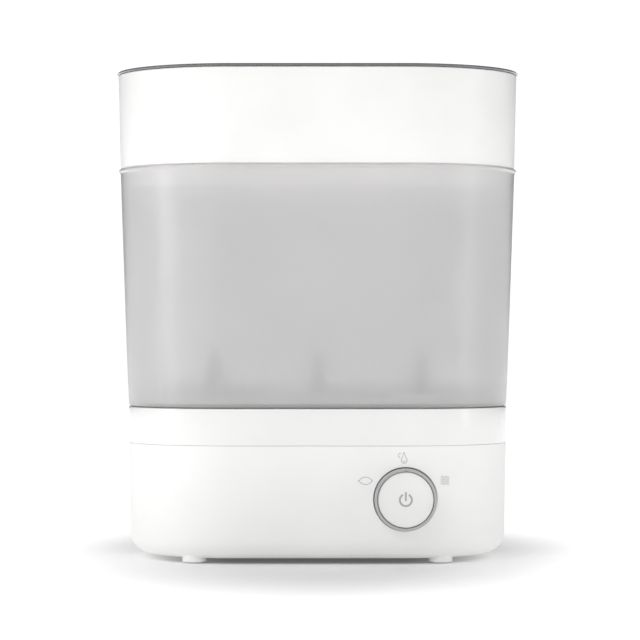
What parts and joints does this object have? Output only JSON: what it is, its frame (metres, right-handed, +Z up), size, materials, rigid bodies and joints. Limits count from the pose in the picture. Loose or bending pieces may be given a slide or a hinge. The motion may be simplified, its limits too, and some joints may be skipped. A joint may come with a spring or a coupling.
{
  "type": "bottle sterilizer",
  "caption": "Round-ended steam sterilizer and dryer for feeding bottles: base with control knob, frosted basket with peg rack, white upper basket and smoke-grey lid.",
  "frame": {"origin": "middle of the footprint, on the surface that the part stands on", "axes": "+Z up, +X to the right seen from the front, the front with the control knob faces -Y"},
  "size_m": [0.2888, 0.1849, 0.3487],
  "materials": {
    "satin_white": "satin moulded polypropylene",
    "gloss_white": "glossy moulded polypropylene",
    "basket_white": "white polypropylene",
    "frosted_clear": "frosted translucent polypropylene",
    "rack_grey": "light grey polypropylene",
    "smoke_clear": "smoke-grey translucent polypropylene",
    "trim_grey": "satin silver-grey trim",
    "nylon": "natural nylon",
    "black_resin": "black phenolic",
    "stainless": "brushed stainless steel",
    "zinc_steel": "zinc-plated steel",
    "cast_aluminium": "die-cast aluminium",
    "sheathed_tube": "oxidised steel sheath",
    "silicone": "grey silicone",
    "foot_rubber": "pale grey rubber",
    "ceramic_white": "glazed fuse sleeve",
    "filter_paper": "pleated filter paper",
    "circuit_board": "glass-epoxy board with green mask",
    "brass": "brass"
  },
  "bodies": {
    "base": {"base_housing": "satin_white", "upper_deck": "satin_white", "bottom_cover": "satin_white", "air_outlet_cap": "satin_white", "upper_band": "gloss_white", "fan_housing": "nylon", "fan_cover": "nylon", "air_duct": "nylon", "filter_bay": "nylon", "button_carrier": "nylon", "cord_gland": "nylon", "light_guide": "nylon", "thermostat": "black_resin", "air_heater_frame": "black_resin", "selector_switch": "black_resin", "tact_switch": "black_resin", "board_components": "black_resin", "heating_plate": "stainless", "plate_bracket": "stainless", "cover_screws": "zinc_steel", "bracket_fixings": "zinc_steel", "fan_screws": "zinc_steel", "fan_motor": "zinc_steel", "detent_spring": "zinc_steel", "button_spring": "zinc_steel", "heat_spreader": "cast_aluminium", "air_heater_fins": "cast_aluminium", "heating_element": "sheathed_tube", "plate_seal": "silicone", "rubber_feet": "foot_rubber", "thermal_fuse": "ceramic_white", "control_board": "circuit_board", "power_board": "circuit_board"},
    "mode_knob": {"mode_knob": "gloss_white", "knob_trim": "trim_grey", "knob_retainer": "nylon"},
    "power_button": {"power_button": "gloss_white", "switch_plunger": "brass"},
    "fan_rotor": {"fan_impeller": "black_resin", "fan_shaft": "stainless"},
    "air_filter": {"filter_cover": "satin_white", "filter_frame": "basket_white", "filter_media": "filter_paper"},
    "large_basket": {"large_basket": "frosted_clear"},
    "bottle_rack": {"bottle_rack": "rack_grey", "bottle_pegs": "rack_grey"},
    "small_basket": {"small_basket": "basket_white"},
    "basket_plate": {"basket_plate": "basket_white"},
    "lid": {"lid": "smoke_clear"}
  },
  "joints": [
    {"name": "large_basket_lift", "type": "slide", "parent": "base", "child": "large_basket", "axis": [0, 0, 1], "range_m": [0, 0.06]},
    {"name": "bottle_rack_lift", "type": "slide", "parent": "large_basket", "child": "bottle_rack", "axis": [0, 0, 1], "range_m": [0, 0.11]},
    {"name": "small_basket_lift", "type": "slide", "parent": "large_basket", "child": "small_basket", "axis": [0, 0, 1], "range_m": [0, 0.06]},
    {"name": "basket_plate_lift", "type": "slide", "parent": "small_basket", "child": "basket_plate", "axis": [0, 0, 1], "range_m": [0, 0.055]},
    {"name": "lid_lift", "type": "slide", "parent": "small_basket", "child": "lid", "axis": [0, 0, 1], "range_m": [0, 0.06]},
    {"name": "knob_turn", "type": "hinge", "parent": "base", "child": "mode_knob", "pos_m": [0.0612, -0.08335, 0.046], "axis": [0, 1, 0], "range_deg": [-65, 65], "deforming": ["detent_spring"]},
    {"name": "power_press", "type": "slide", "parent": "base", "child": "power_button", "axis": [0, 1, 0], "range_m": [0, 0.001], "stiffness_N_per_m": 2000, "springref_m": -0.0005, "deforming": ["button_spring"]},
    {"name": "fan_spin", "type": "hinge", "parent": "base", "child": "fan_rotor", "pos_m": [-0.066, 0.041, 0.042], "axis": [0, 1, 0], "continuous": true},
    {"name": "filter_pull", "type": "slide", "parent": "base", "child": "air_filter", "axis": [0, 1, 0], "range_m": [0, 0.045]}
  ]
}
